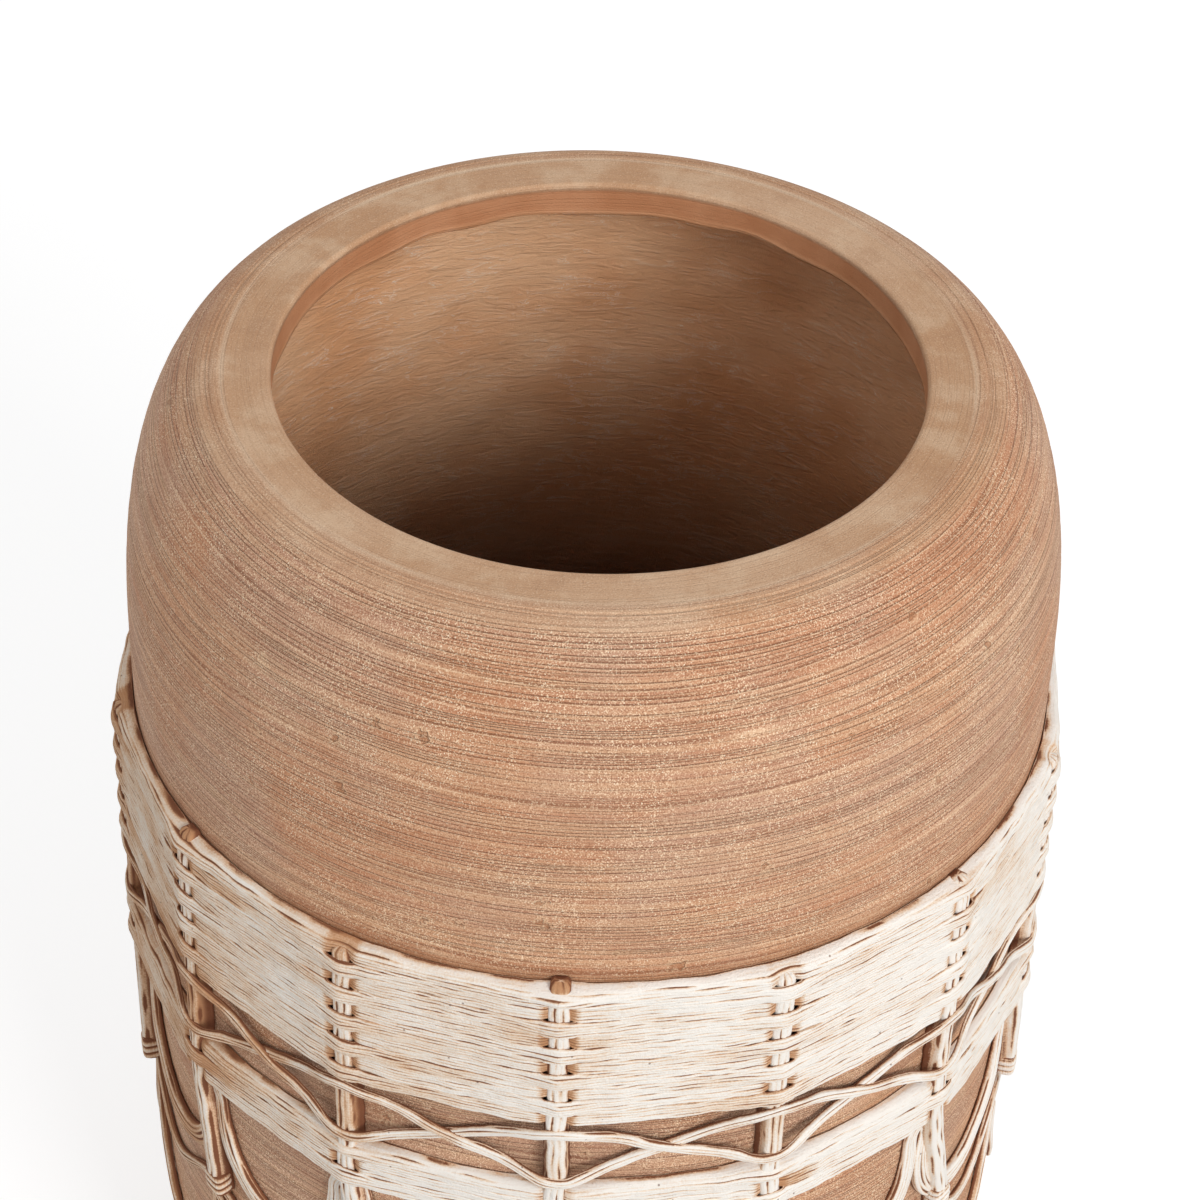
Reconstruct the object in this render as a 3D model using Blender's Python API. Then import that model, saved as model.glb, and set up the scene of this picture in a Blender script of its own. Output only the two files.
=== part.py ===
"""A tall turned planter with a broad lip, wrapped in whitewashed reed work.

Metres, +Z up. The origin is at the centre of the base, on the ground. Angles round the pot are
counted from -Y towards +X, so the first stake stands at the front. The pot's height adds up
from the zones of its wall, from the rim down to the bare foot.
"""

from math import asin, cos, pi, sin

import bmesh
import bpy

# Pot
WALL_RADIUS = 0.190
MOUTH_RADIUS = 0.1285
LIP_WIDTH = 0.0195
LIP_THICKNESS = 0.014
LIP_EDGE_ROUND = 0.002
SHOULDER_DROP = 0.119
SHOULDER_OUT_POWER = 2.17
SHOULDER_DOWN_POWER = 2.39
WALL_LEAN = 0.002
WALL = 0.010
FLOOR = 0.014
BASE_ROUND = 0.012
INNER_ROUND = 0.014
FOOT_WIDTH = 0.030
FOOT_RISE = 0.005
DRAIN_RADIUS = 0.012
DISH_DEPTH = 0.0015
DISH_WIDTH = 0.012

# Drain plug
PLUG_CLEARANCE = 0.0004
PLUG_FLANGE_WIDTH = 0.007
PLUG_FLANGE = 0.003
PLUG_KNOB_RADIUS = 0.0065
PLUG_KNOB = 0.012
PLUG_SHORT = 0.001

# Reed bundles and the gap that touching pieces keep
GAP = 0.0003
STRAND = 0.0028
STAKE = 0.004
STAKE_WIDTH = 0.008
STAKE_CHAMFER = 0.001
STAKES = 14
EDGE_CLEARANCE = 0.0015

# Zones of the wall from the rim down
BARE_TOP = 0.1495
STAKE_STUB = 0.003
UPPER_COURSES = 10
UPPER_PITCH = 0.00726
LATTICE_HEIGHT = 0.0382
LATTICE_WIDTH = 0.004
LATTICE = 0.002
LATTICE_TOP_CLEARANCE = 0.0045
LATTICE_FOOT_CLEARANCE = 0.0007
LOWER_COURSES = 3
LOWER_PITCH = 0.0078
BARE_FOOT = 0.1303

# Stake tails, their ties and the swags that hang between them
STAKE_TAIL = 0.068
TIE_HEIGHT = 0.012
TIE_WALL = 0.0015
UPPER_SWAG_WIDTH = 0.009
UPPER_SWAG_DROP = 0.050
THIN_SWAG_WIDTH = 0.004
SWAG_CLEARANCE = 0.001
NET_SPACE = 0.020
NET_CLEARANCE = 0.004
LOWER_NET_SPACE = 0.055

# Facets
TURNED_STEPS = 5 * STAKES
SHOULDER_STEPS = 10
INNER_SHOULDER_STEPS = 7
ROUND_STEPS = 3
WEAVE_STEPS = 3
SWAG_STEPS = 6
TURN_STEPS = 4
SCALLOP_STEPS = 8
PLUG_STEPS = 24

# Places that follow from the sizes above, in metres above the ground
THIN_HALF = THIN_SWAG_WIDTH / 2
lip_radius = MOUTH_RADIUS + LIP_WIDTH
net_depth = (
    SWAG_CLEARANCE + UPPER_SWAG_WIDTH + STAKE_WIDTH / 2 + UPPER_SWAG_DROP
    + NET_SPACE + THIN_SWAG_WIDTH + LOWER_NET_SPACE
)
lower_band_foot = BARE_FOOT + net_depth
lower_band_top = lower_band_foot + LOWER_COURSES * LOWER_PITCH
upper_band_foot = lower_band_top + LATTICE_HEIGHT
upper_band_top = upper_band_foot + UPPER_COURSES * UPPER_PITCH
height = upper_band_top + BARE_TOP
shoulder_foot = height - SHOULDER_DROP
floor_top = FOOT_RISE + FLOOR
dish_floor = floor_top - DISH_DEPTH
stake_top = upper_band_top + STAKE_STUB
stake_foot = lower_band_foot - STAKE_TAIL
bay = 2 * pi / STAKES

# Layers outside the wall: behind the stakes, the stakes, in front of them, and over a crossing
behind = GAP
stake_layer = behind + STRAND + GAP
in_front = stake_layer + STAKE + GAP
crossing_over = behind + LATTICE + GAP
stake_edge = asin((STAKE_WIDTH / 2 + EDGE_CLEARANCE) / WALL_RADIUS)


def wall_radius(z):
    """Outer radius at height z: a leaning wall below a superelliptic shoulder."""
    if z <= shoulder_foot:
        return WALL_RADIUS - WALL_LEAN * (shoulder_foot - z)
    rise = min((z - shoulder_foot) / SHOULDER_DROP, 1.0)
    out = (1 - rise ** SHOULDER_DOWN_POWER) ** (1 / SHOULDER_OUT_POWER)
    return lip_radius + (WALL_RADIUS - lip_radius) * out


def around(radius, angle, z):
    """A point at an angle from -Y towards +X."""
    return (radius * sin(angle), -radius * cos(angle), z)


def material(name, color, roughness):
    """A Principled material of one plain colour."""
    made = bpy.data.materials.new(name)
    made.use_nodes = True
    shader = made.node_tree.nodes["Principled BSDF"]
    shader.inputs["Base Color"].default_value = (*color, 1.0)
    shader.inputs["Roughness"].default_value = roughness
    shader.inputs["Metallic"].default_value = 0.0
    return made


def add_object(name, mesh, finish):
    """An object for a mesh, in the scene, with its own material."""
    if not mesh.materials:
        mesh.materials.append(finish)
    made = bpy.data.objects.new(name, mesh)
    bpy.context.collection.objects.link(made)
    return made


def finish_mesh(name, shape, sharp_angle):
    """A mesh with its faces out, shaded smooth but for its sharp edges."""
    bmesh.ops.recalc_face_normals(shape, faces=shape.faces)
    mesh = bpy.data.meshes.new(name)
    shape.to_mesh(mesh)
    shape.free()
    mesh.shade_smooth()
    mesh.set_sharp_from_angle(angle=sharp_angle)
    return mesh


def turned_mesh(name, profile, steps):
    """A profile of (radius, z) points spun once round the axis.

    The profile closes on itself, or begins and ends on the axis.
    """
    shape = bmesh.new()
    corners = [shape.verts.new(around(radius, 0, z)) for radius, z in profile]
    if profile[0][0] > 0:
        corners.append(corners[0])
    for here, after in zip(corners, corners[1:]):
        shape.edges.new((here, after))
    bmesh.ops.spin(
        shape,
        geom=shape.verts[:] + shape.edges[:],
        axis=(0, 0, 1),
        cent=(0, 0, 0),
        angle=2 * pi,
        steps=steps,
        use_duplicate=False,
    )
    bmesh.ops.remove_doubles(shape, verts=shape.verts, dist=GAP / 10)
    return finish_mesh(name, shape, pi / 5)


def arc(center_radius, center_z, radius, start, end, steps):
    """Points of a round in the profile, ends included, angles from +radius up."""
    turns = [start + (end - start) * i / steps for i in range(steps + 1)]
    return [(center_radius + radius * cos(t), center_z + radius * sin(t)) for t in turns]


def shoulder(top_radius, top_z, foot_radius, steps):
    """Points of a superelliptic shoulder from its top to its foot."""
    points = []
    for i in range(steps + 1):
        t = pi / 2 * i / steps
        out = sin(t) ** (2 / SHOULDER_OUT_POWER)
        down = max(cos(t), 0.0) ** (2 / SHOULDER_DOWN_POWER)
        radius = top_radius + (foot_radius - top_radius) * out
        points.append((radius, shoulder_foot + (top_z - shoulder_foot) * down))
    return points


def pot_profile():
    """The pot's wall from the lip down its outside, under its floor and up its inside."""
    base_radius = wall_radius(BASE_ROUND)
    inner_base = wall_radius(floor_top + INNER_ROUND) - WALL
    lip_foot = height - LIP_THICKNESS
    outside = shoulder(lip_radius, height, WALL_RADIUS, SHOULDER_STEPS)
    base = arc(base_radius - BASE_ROUND, BASE_ROUND, BASE_ROUND, 0, -pi / 2, ROUND_STEPS)
    foot_inner = base_radius - BASE_ROUND - FOOT_WIDTH
    underside = [
        (foot_inner, 0.0),
        (foot_inner - FOOT_RISE, FOOT_RISE),
        (DRAIN_RADIUS, FOOT_RISE),
        (DRAIN_RADIUS, dish_floor),
        (DRAIN_RADIUS + DISH_WIDTH - DISH_DEPTH, dish_floor),
        (DRAIN_RADIUS + DISH_WIDTH, floor_top),
    ]
    corner = arc(
        inner_base - INNER_ROUND, floor_top + INNER_ROUND, INNER_ROUND, -pi / 2, 0, ROUND_STEPS
    )
    inside = shoulder(lip_radius, lip_foot, WALL_RADIUS - WALL, INNER_SHOULDER_STEPS)
    lip_edge = arc(
        MOUTH_RADIUS + LIP_EDGE_ROUND, height - LIP_EDGE_ROUND, LIP_EDGE_ROUND, pi, pi / 2,
        ROUND_STEPS,
    )
    return outside + base + underside + corner + inside[::-1] + [(MOUTH_RADIUS, lip_foot)] + lip_edge


def plug_profile():
    """The plug's stem, flange and knob, from the middle of its foot to the middle of its top.

    Heights are counted from the floor of the dish round the drain hole.
    """
    foot = FOOT_RISE - dish_floor + PLUG_SHORT
    stem_radius = DRAIN_RADIUS - PLUG_CLEARANCE
    flange_radius = DRAIN_RADIUS + PLUG_FLANGE_WIDTH
    neck_radius = PLUG_KNOB_RADIUS / 2
    knob_middle = GAP + PLUG_FLANGE + PLUG_KNOB - PLUG_KNOB_RADIUS / 2
    return [
        (0.0, foot),
        (stem_radius - PLUG_SHORT, foot),
        (stem_radius, foot + PLUG_SHORT),
        (stem_radius, GAP),
        (flange_radius, GAP),
        (flange_radius, GAP + PLUG_FLANGE / 2),
        (flange_radius - PLUG_FLANGE / 2, GAP + PLUG_FLANGE),
        (neck_radius, GAP + PLUG_FLANGE),
        (neck_radius, knob_middle - PLUG_KNOB_RADIUS / 2),
        (PLUG_KNOB_RADIUS, knob_middle),
        (PLUG_KNOB_RADIUS, knob_middle + PLUG_KNOB_RADIUS / 4),
        (neck_radius, knob_middle + PLUG_KNOB_RADIUS / 2),
        (0.0, knob_middle + PLUG_KNOB_RADIUS / 2),
    ]


def strand_mesh(name, path, width, thickness):
    """A flat strand along a closed path of (angle, z, layer) points that lies along the wall.

    At each point the strand's width runs square to the path on the unrolled wall.
    """
    shape = bmesh.new()
    rings = []
    count = len(path)
    for i, (angle, z, layer) in enumerate(path):
        before = path[i - 1]
        after = path[(i + 1) % count]
        radius = wall_radius(z)
        run = ((after[0] - before[0]) % (2 * pi)) * radius
        rise = after[1] - before[1]
        length = (run * run + rise * rise) ** 0.5
        ring = []
        for side, depth in ((-1, 0.0), (-1, thickness), (1, thickness), (1, 0.0)):
            corner_angle = angle - side * width / 2 * rise / length / radius
            corner_z = z + side * width / 2 * run / length
            corner_radius = wall_radius(corner_z) + layer + depth
            ring.append(shape.verts.new(around(corner_radius, corner_angle, corner_z)))
        rings.append(ring)
    for ring, following in zip(rings, rings[1:] + rings[:1]):
        for j in range(4):
            k = (j + 1) % 4
            shape.faces.new((ring[j], ring[k], following[k], following[j]))
    return finish_mesh(name, shape, pi / 4)


def course_path(z, first):
    """A course at height z: in front of every second stake and behind the others."""
    path = []
    span = bay - 2 * stake_edge
    for stake in range(STAKES):
        here = in_front if (stake + first) % 2 == 0 else behind
        there = in_front if ((stake + 1) % STAKES + first) % 2 == 0 else behind
        angle = stake * bay
        path.append((angle - stake_edge, z, here))
        path.append((angle + stake_edge, z, here))
        for i in range(1, WEAVE_STEPS):
            share = i / WEAVE_STEPS
            ease = (1 - cos(pi * share)) / 2
            path.append((angle + stake_edge + span * share, z, here + (there - here) * ease))
    return path


def lattice_path(first):
    """A zigzag strand in front of the stakes, over its twin in every second bay."""
    half = LATTICE_WIDTH / 2
    high = upper_band_foot - LATTICE_TOP_CLEARANCE - half
    low = lower_band_top + LATTICE_FOOT_CLEARANCE + half
    run = bay * WALL_RADIUS - STAKE_WIDTH
    slope = (high - low) / run
    crossing_half = (2 * half / slope / WALL_RADIUS) * 0.75
    path = []
    for stake in range(STAKES):
        here = high if (stake + first) % 2 == 1 else low
        there = high if ((stake + 1) % STAKES + first) % 2 == 1 else low
        angle = stake * bay
        path.append((angle - stake_edge, here, in_front))
        path.append((angle + stake_edge, here, in_front))
        layer = crossing_over if (stake + first) % 2 == 1 else behind
        for place in (-crossing_half, 0.0, crossing_half):
            share = (bay / 2 + place - stake_edge) / (bay - 2 * stake_edge)
            path.append((angle + bay / 2 + place, here + (there - here) * share, layer))
    return path


def swag_path(top, turn, drop):
    """A strand that turns tightly behind each stake and hangs in a half ellipse between them."""
    path = []
    radius = wall_radius(top)
    for stake in range(STAKES):
        angle = stake * bay
        for i in range(TURN_STEPS + 1):
            t = pi * i / TURN_STEPS
            path.append((angle - turn * cos(t) / radius, top - turn + turn * sin(t), behind))
        reach = bay / 2 - turn / radius
        for i in range(1, SWAG_STEPS):
            t = pi * i / SWAG_STEPS
            path.append((angle + bay / 2 - reach * cos(t), top - turn - drop * sin(t), behind))
    return path


def scallop_path(top, drop):
    """A strand that dips in a shallow wave from one stake to the next."""
    path = []
    for stake in range(STAKES):
        for i in range(SCALLOP_STEPS):
            share = i / SCALLOP_STEPS
            z = top - drop * (1 - cos(2 * pi * share)) / 2
            path.append(((stake + share) * bay, z, behind))
    return path


def stake_mesh(name):
    """An upright flat bundle with chamfered edges, at the front of the pot."""
    half = STAKE_WIDTH / 2
    cut = STAKE_CHAMFER
    section = [
        (-half, cut), (-half + cut, 0.0), (half - cut, 0.0), (half, cut),
        (half, STAKE - cut), (half - cut, STAKE), (-half + cut, STAKE), (-half, STAKE - cut),
    ]
    shape = bmesh.new()
    rings = []
    for z in (stake_foot, stake_top):
        face = wall_radius(z) + stake_layer
        rings.append([shape.verts.new((x, -(face + out), z)) for x, out in section])
    bridge(shape, rings[0], rings[1])
    shape.faces.new(rings[0])
    shape.faces.new(rings[1])
    return finish_mesh(name, shape, pi / 6)


def bridge(shape, lower, upper):
    """Faces between two closed rows of vertices of the same count."""
    count = len(lower)
    for i in range(count):
        j = (i + 1) % count
        shape.faces.new((lower[i], lower[j], upper[j], upper[i]))


def tie_mesh(name):
    """A binding round the lower end of the front stake: a flat sleeve, fuller at mid height."""
    half_hole = STAKE_WIDTH / 2 + GAP
    half_out = half_hole + TIE_WALL
    levels = ((0.0, 0.0), (TIE_HEIGHT / 4, 1.0), (3 * TIE_HEIGHT / 4, 1.0), (TIE_HEIGHT, 0.0))
    shape = bmesh.new()
    outer_rows = []
    inner_rows = []
    for rise, swell in levels:
        z = stake_foot + rise
        face = wall_radius(z)
        back = face + behind
        front = face + in_front + TIE_WALL * (0.4 + 0.6 * swell)
        wide = half_out - TIE_WALL * 0.4 * (1 - swell)
        outer = [(-wide, back), (wide, back), (wide, front - GAP), (wide - TIE_WALL / 2, front),
                 (TIE_WALL / 2 - wide, front), (-wide, front - GAP)]
        outer_rows.append([shape.verts.new((x, -out, z)) for x, out in outer])
    for rise in (0.0, TIE_HEIGHT):
        z = stake_foot + rise
        hole_back = wall_radius(z) + stake_layer - GAP
        hole_front = wall_radius(z) + in_front
        inner = [(-half_hole, hole_back), (half_hole, hole_back), (half_hole, hole_front),
                 (half_hole, hole_front), (-half_hole, hole_front), (-half_hole, hole_front)]
        inner_rows.append([shape.verts.new((x, -out, z)) for x, out in inner])
    for lower, upper in zip(outer_rows, outer_rows[1:]):
        bridge(shape, lower, upper)
    bridge(shape, inner_rows[0], inner_rows[1])
    bridge(shape, outer_rows[0], inner_rows[0])
    bridge(shape, outer_rows[-1], inner_rows[1])
    bmesh.ops.remove_doubles(shape, verts=shape.verts, dist=GAP / 10)
    return finish_mesh(name, shape, pi / 6)


def add_pot():
    """The turned pot."""
    clay = material("turned_clay", (0.42, 0.22, 0.12), 0.85)
    add_object("pot_shell", turned_mesh("pot_shell", pot_profile(), TURNED_STEPS), clay)


def add_plug():
    """The rubber plug, with its origin where its axis meets the floor of the dish."""
    rubber = material("black_rubber", (0.02, 0.02, 0.02), 0.7)
    plug = add_object("drain_plug", turned_mesh("drain_plug", plug_profile(), PLUG_STEPS), rubber)
    plug.location = (0.0, 0.0, dish_floor)


def add_courses():
    """The woven courses of both bands, from the top down."""
    for i in range(UPPER_COURSES):
        name = f"upper_course_{i + 1:02d}"
        reed = material(name, (0.75, 0.66, 0.56), 0.8)
        z = upper_band_top - (i + 0.5) * UPPER_PITCH
        add_object(name, strand_mesh(name, course_path(z, i), UPPER_PITCH - GAP, STRAND), reed)
    for i in range(LOWER_COURSES):
        name = f"lower_course_{i + 1}"
        reed = material(name, (0.73, 0.64, 0.54), 0.8)
        z = lower_band_top - (i + 0.5) * LOWER_PITCH
        add_object(name, strand_mesh(name, course_path(z, i + 1), LOWER_PITCH - GAP, STRAND), reed)


def add_lattice():
    """The two crossing strands of the open zone."""
    for first, name in enumerate(("lattice_strand_a", "lattice_strand_b")):
        reed = material(name, (0.70, 0.61, 0.51), 0.8)
        add_object(name, strand_mesh(name, lattice_path(first), LATTICE_WIDTH, LATTICE), reed)


def add_swags():
    """The three hanging strands below the bands."""
    turn = (STAKE_WIDTH + UPPER_SWAG_WIDTH) / 2
    top = lower_band_foot - SWAG_CLEARANCE - UPPER_SWAG_WIDTH / 2
    upper_foot = top - turn - UPPER_SWAG_DROP - UPPER_SWAG_WIDTH / 2
    middle_top = stake_foot - SWAG_CLEARANCE - THIN_HALF
    middle_low = upper_foot - NET_SPACE - THIN_HALF
    lower_turn = STAKE_WIDTH / 2 + THIN_HALF
    lower_top = middle_top - THIN_SWAG_WIDTH - NET_CLEARANCE
    lower_drop = lower_top - lower_turn - (middle_low - LOWER_NET_SPACE)
    strands = (
        ("swag_strand_upper", swag_path(top, turn, UPPER_SWAG_DROP), UPPER_SWAG_WIDTH),
        ("swag_strand_middle", scallop_path(middle_top, middle_top - middle_low), THIN_SWAG_WIDTH),
        ("swag_strand_lower", swag_path(lower_top, lower_turn, lower_drop), THIN_SWAG_WIDTH),
    )
    for name, path, width in strands:
        reed = material(name, (0.68, 0.58, 0.48), 0.8)
        add_object(name, strand_mesh(name, path, width, STRAND), reed)


def add_stakes():
    """The upright bundles and the ties at their lower ends, one pair for each bay."""
    stake_shape = stake_mesh("stake")
    tie_shape = tie_mesh("stake_tie")
    stake_reed = material("stake_reed", (0.72, 0.62, 0.52), 0.8)
    tie_reed = material("tie_reed", (0.76, 0.68, 0.58), 0.8)
    for i in range(STAKES):
        stake = add_object(f"stake_{i + 1:02d}", stake_shape, stake_reed)
        stake.rotation_euler = (0.0, 0.0, i * bay)
        tie = add_object(f"stake_tie_{i + 1:02d}", tie_shape, tie_reed)
        tie.rotation_euler = (0.0, 0.0, i * bay)


for leftover in list(bpy.data.objects):
    bpy.data.objects.remove(leftover)
add_pot()
add_plug()
add_courses()
add_lattice()
add_swags()
add_stakes()
print(f"height {height:.4f} m, shoulder foot {shoulder_foot:.4f} m, stakes from {stake_foot:.4f} m")
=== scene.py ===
# %% [markdown]
# A tall turned planter in a wrap of whitewashed reed.
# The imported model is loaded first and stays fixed. Every piece below is fitted to it and rides
# on one of its bodies, so it stays in place when the drain plug is lifted out.

# %% Load the frame
from functools import partial

import bpy
import numpy as np
from mathutils import Matrix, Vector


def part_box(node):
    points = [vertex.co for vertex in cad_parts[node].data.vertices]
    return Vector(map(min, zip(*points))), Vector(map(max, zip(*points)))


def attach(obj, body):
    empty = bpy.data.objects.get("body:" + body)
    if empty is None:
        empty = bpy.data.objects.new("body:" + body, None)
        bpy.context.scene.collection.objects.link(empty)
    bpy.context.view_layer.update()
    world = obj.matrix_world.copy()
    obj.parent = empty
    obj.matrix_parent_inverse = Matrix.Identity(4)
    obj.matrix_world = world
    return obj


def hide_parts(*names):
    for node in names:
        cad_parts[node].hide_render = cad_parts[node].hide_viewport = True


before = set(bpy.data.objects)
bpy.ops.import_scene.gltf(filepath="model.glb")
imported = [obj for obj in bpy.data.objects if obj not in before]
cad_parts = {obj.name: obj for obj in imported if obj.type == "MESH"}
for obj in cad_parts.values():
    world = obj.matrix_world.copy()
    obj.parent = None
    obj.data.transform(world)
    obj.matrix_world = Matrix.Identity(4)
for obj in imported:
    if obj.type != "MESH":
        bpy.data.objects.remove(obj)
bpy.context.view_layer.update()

# %% [markdown]
# The camera.
# It stands where the photograph was taken from: its height, its distance and its small roll were
# found from the rim, the outline of the wall and the even spacing of the stakes. A long lens keeps
# the mouth nearly a true ellipse.

# %% Camera
PHOTO_SIDE = 1200
LENS_IN_PHOTO_PIXELS = 3600
SENSOR = 36.0
CAMERA_OUT = 1.1443
CAMERA_ABOVE_RIM = 0.8268
CAMERA_AROUND = np.radians(2.2)
CAMERA_TURN = np.radians(0.105)
CAMERA_DOWN = np.radians(39.595)
CAMERA_ROLL = np.radians(1.8645)
LENS_SHIFT = 2.4

rim_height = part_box("pot_shell")[1].z


def looking(place, ahead, roll=0.0):
    """The matrix of something that stands at a place and looks ahead, rolled about that line."""
    ahead = np.divide(ahead, np.linalg.norm(ahead))
    level = np.cross(ahead, (0, 0, 1))
    level /= np.linalg.norm(level)
    upright = np.cross(level, ahead)
    right = np.cos(roll) * level + np.sin(roll) * upright
    up = np.cos(roll) * upright - np.sin(roll) * level
    matrix = np.eye(4)
    matrix[:3] = np.array([right, up, -ahead, place]).T
    return Matrix(matrix.tolist())


def put(name, data):
    """A new object in the scene."""
    made = bpy.data.objects.new(name, data)
    bpy.context.scene.collection.objects.link(made)
    return made


camera_data = bpy.data.cameras.new("camera")
camera_data.sensor_width = SENSOR
camera_data.lens = SENSOR * LENS_IN_PHOTO_PIXELS / PHOTO_SIDE
camera_data.shift_x = LENS_SHIFT / PHOTO_SIDE
camera = put("camera", camera_data)
ahead = (np.sin(CAMERA_TURN), np.cos(CAMERA_TURN), -np.tan(CAMERA_DOWN))
camera.matrix_world = Matrix.Rotation(CAMERA_AROUND, 4, "Z") @ looking(
    (0, -CAMERA_OUT, rim_height + CAMERA_ABOVE_RIM), ahead, CAMERA_ROLL)
bpy.context.scene.camera = camera
bpy.context.scene.view_settings.view_transform = "Standard"
print("camera at", tuple(round(c, 3) for c in camera.matrix_world.translation))

# %% [markdown]
# Small tools for materials.
# Colours are picked as sRGB hex values, as a painter names them, and the shader wants linear ones.
# One function adds any node with its settings and its links, one lays coats of colour over one
# another, and one fills the shader's sockets.

# %% Colour and node helpers
MODES = {"Math": "operation", "VectorMath": "operation", "MapRange": "interpolation_type", "Mix": "data_type"}
TIMES = "Math MULTIPLY"
MIX = "Mix RGBA"
SOFT = "MapRange SMOOTHSTEP"


def linear(hex_colour):
    """Linear RGBA of an sRGB hex colour."""
    srgb = np.array([int(hex_colour[i:i + 2], 16) / 255 for i in (1, 3, 5)])
    flat = np.where(srgb <= 0.04045, srgb / 12.92, ((srgb + 0.055) / 1.055) ** 2.4)
    return (*flat.tolist(), 1.0)


def fill(tree, socket, value):
    """Link another node's output to a socket, or set the value on it."""
    if isinstance(value, bpy.types.NodeSocket):
        tree.links.new(value, socket)
    else:
        socket.default_value = value


def add(tree, kind, *values, output=None, **named):
    """Add a node and return one of its outputs, the first in use if none is named.

    A word after the kind is its mode. The values fill the sockets in use, in order. A named value
    fills the socket of that name, or else it is one of the node's settings.
    """
    kind, _, mode = kind.partition(" ")
    made = tree.nodes.new("ShaderNode" + kind)
    if mode:
        setattr(made, MODES[kind], mode)
    for socket, value in zip([s for s in made.inputs if s.enabled], values):
        fill(tree, socket, value)
    for name, value in named.items():
        if name in made.inputs:
            fill(tree, made.inputs[name], value)
        else:
            setattr(made, name, value)
    return made.outputs[output] if output else next(s for s in made.outputs if s.enabled)


def painted(tree, under, *coats):
    """Coats laid one over another.

    Each is its colour and then the share that it hides, or else a value and the limits of the soft
    step of it that gives the share.
    """
    for colour, *share in coats:
        share = add(tree, SOFT, *share) if len(share) > 1 else share[0]
        under = add(tree, MIX, share, under, linear(colour))
    return under


def new_material(name):
    """A new material, which holds a Principled shader, and its node tree."""
    made = bpy.data.materials.new(name)
    made.use_nodes = True
    return made, made.node_tree


def shaded(made, **values):
    """Fill the sockets of a material's shader, named with _ for each space, and return the material."""
    tree = made.node_tree
    for name, value in values.items():
        fill(tree, tree.nodes["Principled BSDF"].inputs[name.replace("_", " ")], value)
    return made


print("clay in linear light:", [round(c, 3) for c in linear("#BE8F6E")])

# %% [markdown]
# Small tools for surfaces.
# Every new piece is a grid of points worked out with numpy: rows along it, columns around it. Most
# grids close on themselves both ways, like the skin of a ring, so they have no edges to mend. A
# signed volume tells whether the faces point outwards.

# %% Surface helpers
def turns(count):
    """Angles evenly spaced round a full turn."""
    return np.arange(count) / count * 2 * np.pi


def around(radius, angle, z):
    """Points at a radius from the axis, an angle from the front and a height."""
    return np.stack([radius * np.sin(angle), -radius * np.cos(angle), z], -1)


def noise_around(count, waves, seed):
    """Smooth noise on a closed row: a sum of whole waves with seeded sizes and phases, about -1 to 1."""
    draw = np.random.default_rng(seed)
    numbers = np.arange(1, waves + 1)
    size = draw.normal(size=waves) / np.sqrt(waves)
    phase = draw.uniform(0, 2 * np.pi, waves)
    return (size[:, None] * np.cos(numbers[:, None] * turns(count) + phase[:, None])).sum(0)


def grid_faces(rows, columns, close_rows):
    """Quads between neighbouring rows and columns, the columns always closed, as (face, corner)."""
    row, column = np.arange(rows if close_rows else rows - 1)[:, None], np.arange(columns)
    after, beside = (row + 1) % rows, (column + 1) % columns
    corners = ((row, column), (row, beside), (after, beside), (after, column))
    return np.stack([r * columns + c for r, c in corners], -1).reshape(-1, 4)


def surface(name, points, close_rows, values, along, across):
    """A smooth mesh object from a grid of points of shape (rows, columns, 3).

    values are numbers per point that materials read. The UV map holds metres along the rows and
    metres across the columns. Open ends are closed with a fan to their middle.
    """
    rows, columns, _ = points.shape
    quads = grid_faces(rows, columns, close_rows)
    row, column = np.divmod(np.arange(len(quads)), columns)
    uv = np.stack([np.stack([across[column + i], along[row + j]], -1)
                   for i, j in ((0, 0), (1, 0), (1, 1), (0, 1))], 1)
    flat = points.reshape(-1, 3)
    a, b, c, d = (flat[quads[:, i]] for i in range(4))
    fans = np.zeros((0, 3), int)
    if not close_rows:
        ring = np.arange(columns)
        beside = (ring + 1) % columns
        last = len(flat) - columns
        middle = np.full(columns, len(flat))
        fans = np.concatenate([np.stack([beside, ring, middle], -1),
                               np.stack([last + ring, last + beside, middle + 1], -1)])
        flat = np.concatenate([flat, points[[0, -1]].mean(1)])
    if np.einsum("ij,ij", a, np.cross(b, c) + np.cross(c, d)) < 0:
        quads, uv, fans = quads[:, ::-1], uv[:, ::-1], fans[:, ::-1]
    mesh = bpy.data.meshes.new(name)
    loops = np.concatenate([quads.ravel(), fans.ravel()])
    starts = np.concatenate([np.arange(len(quads)) * 4, quads.size + np.arange(len(fans)) * 3])
    mesh.vertices.add(len(flat))
    mesh.vertices.foreach_set("co", flat.astype(np.float32).ravel())
    mesh.loops.add(len(loops))
    mesh.loops.foreach_set("vertex_index", loops.astype(np.int32))
    mesh.polygons.add(len(starts))
    mesh.polygons.foreach_set("loop_start", starts.astype(np.int32))
    mesh.update(calc_edges=True)
    corner_uv = np.zeros((len(loops), 2), np.float32)
    corner_uv[:quads.size] = uv.reshape(-1, 2)
    mesh.uv_layers.new(name="UVMap").data.foreach_set("uv", corner_uv.ravel())
    for label, numbers in values.items():
        kind, field = ("FLOAT_VECTOR", "vector") if numbers.ndim == 3 else ("FLOAT", "value")
        numbers = numbers.astype(np.float32).reshape(rows * columns, -1)
        extra = np.repeat(numbers.mean(0, keepdims=True), len(flat) - len(numbers), 0)
        made = mesh.attributes.new(label, kind, "POINT")
        made.data.foreach_set(field, np.concatenate([numbers, extra]).ravel())
    mesh.shade_smooth()
    return put(name, mesh)


def dress(piece, material, body, slot, *nodes):
    """The piece takes its finish, rides on a body and stands for CAD nodes."""
    piece.data.materials.append(material)
    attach(piece, body)
    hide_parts(*nodes)


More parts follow.
